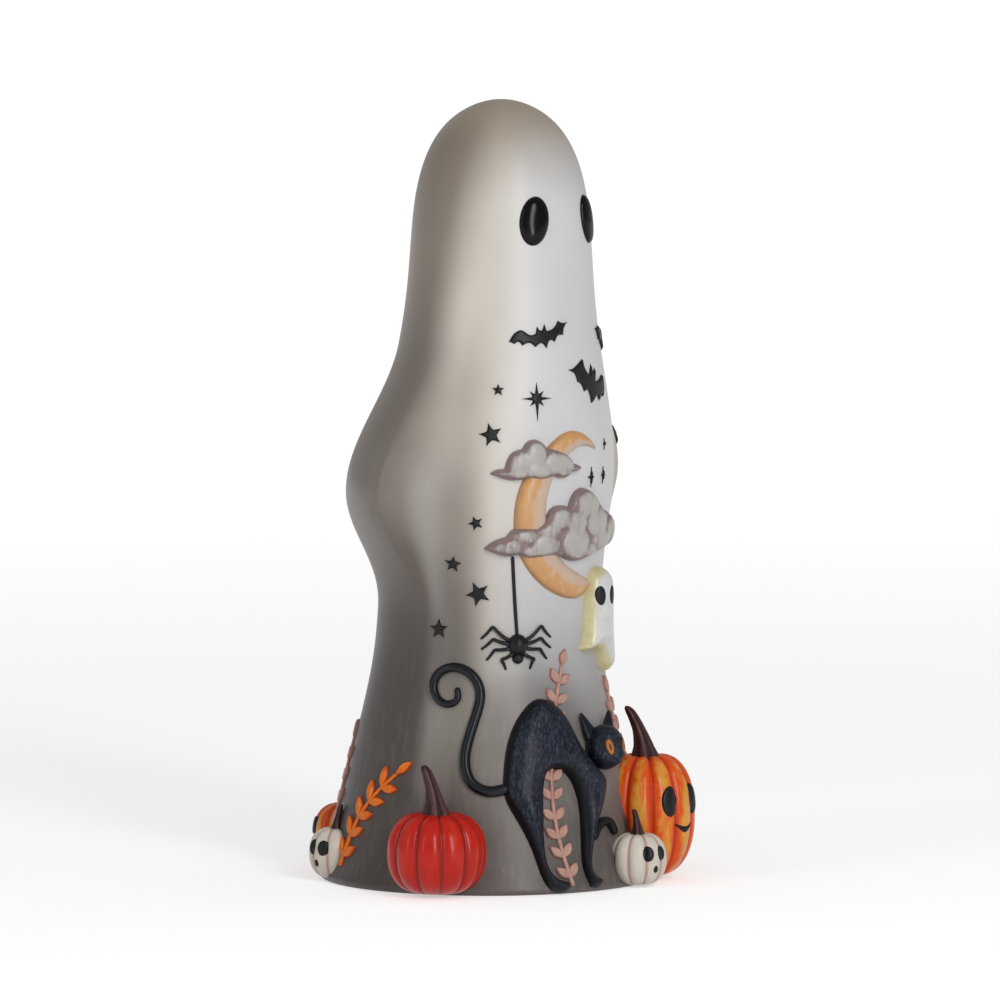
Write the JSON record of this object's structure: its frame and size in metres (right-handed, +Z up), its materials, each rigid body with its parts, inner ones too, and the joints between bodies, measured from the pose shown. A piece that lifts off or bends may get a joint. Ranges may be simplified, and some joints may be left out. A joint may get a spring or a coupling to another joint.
{
  "type": "ceramic ghost figure",
  "caption": "Free-standing glazed ceramic sheet ghost with raised arms, hollow, with relief trims of moon, clouds, bats, stars, spider, cat and pumpkins.",
  "frame": {"origin": "centre of the foot on the surface the figure stands on", "axes": "+Z up, the ghost faces -Y, and its left hand is towards +X"},
  "size_m": [0.1603, 0.1519, 0.2996],
  "materials": {
    "body_glaze": "satin glaze, airbrushed grey-brown at the arms and skirt",
    "black_gloss": "gloss black underglaze",
    "moon_glaze": "satin tan-orange glaze with a pale inner edge",
    "cloud_glaze": "satin mauve-grey glaze, dry-brushed white",
    "pale_glaze": "satin white glaze with a cream wash",
    "cat_glaze": "satin blue-black glaze, dry-brushed grey",
    "amber_glaze": "gloss amber",
    "red_glaze": "gloss red glaze, dark in the grooves",
    "orange_glaze": "gloss orange glaze, yellow on the ribs",
    "cream_glaze": "gloss cream glaze, pink in the grooves",
    "stem_glaze": "satin maroon-brown glaze",
    "pink_glaze": "satin salmon-pink glaze"
  },
  "bodies": {
    "root": {"ghost_body": "body_glaze", "right_eye": "black_gloss", "left_eye": "black_gloss", "right_bat": "black_gloss", "centre_bat": "black_gloss", "left_bat": "black_gloss", "guiding_star": "black_gloss", "spider_thread": "black_gloss", "spider_body": "black_gloss", "spider_legs": "black_gloss", "small_ghost_eyes": "black_gloss", "front_jack_face": "black_gloss", "front_white_face": "black_gloss", "back_jack_face": "black_gloss", "back_white_face": "black_gloss", "right_star_1": "black_gloss", "right_star_2": "black_gloss", "right_star_3": "black_gloss", "right_star_4": "black_gloss", "right_star_5": "black_gloss", "right_star_6": "black_gloss", "left_star_1": "black_gloss", "left_star_2": "black_gloss", "left_star_3": "black_gloss", "left_star_4": "black_gloss", "left_star_5": "black_gloss", "twinkle_1": "black_gloss", "twinkle_2": "black_gloss", "twinkle_3": "black_gloss", "crescent_moon": "moon_glaze", "upper_cloud": "cloud_glaze", "lower_cloud": "cloud_glaze", "small_ghost": "pale_glaze", "cat_body": "cat_glaze", "cat_head": "cat_glaze", "cat_tail": "cat_glaze", "cat_eyes": "amber_glaze", "red_pumpkin": "red_glaze", "left_pumpkin": "red_glaze", "front_jack": "orange_glaze", "back_jack": "orange_glaze", "orange_leaf_spray": "orange_glaze", "left_leaf_spray": "orange_glaze", "front_white_pumpkin": "cream_glaze", "back_white_pumpkin": "cream_glaze", "red_pumpkin_stem": "stem_glaze", "front_jack_stem": "stem_glaze", "front_white_stem": "stem_glaze", "back_jack_stem": "stem_glaze", "back_white_stem": "stem_glaze", "left_pumpkin_stem": "stem_glaze", "cat_leaf_spray": "pink_glaze", "front_leaf_spray": "pink_glaze", "back_leaf_spray": "pink_glaze"}
  },
  "joints": []
}
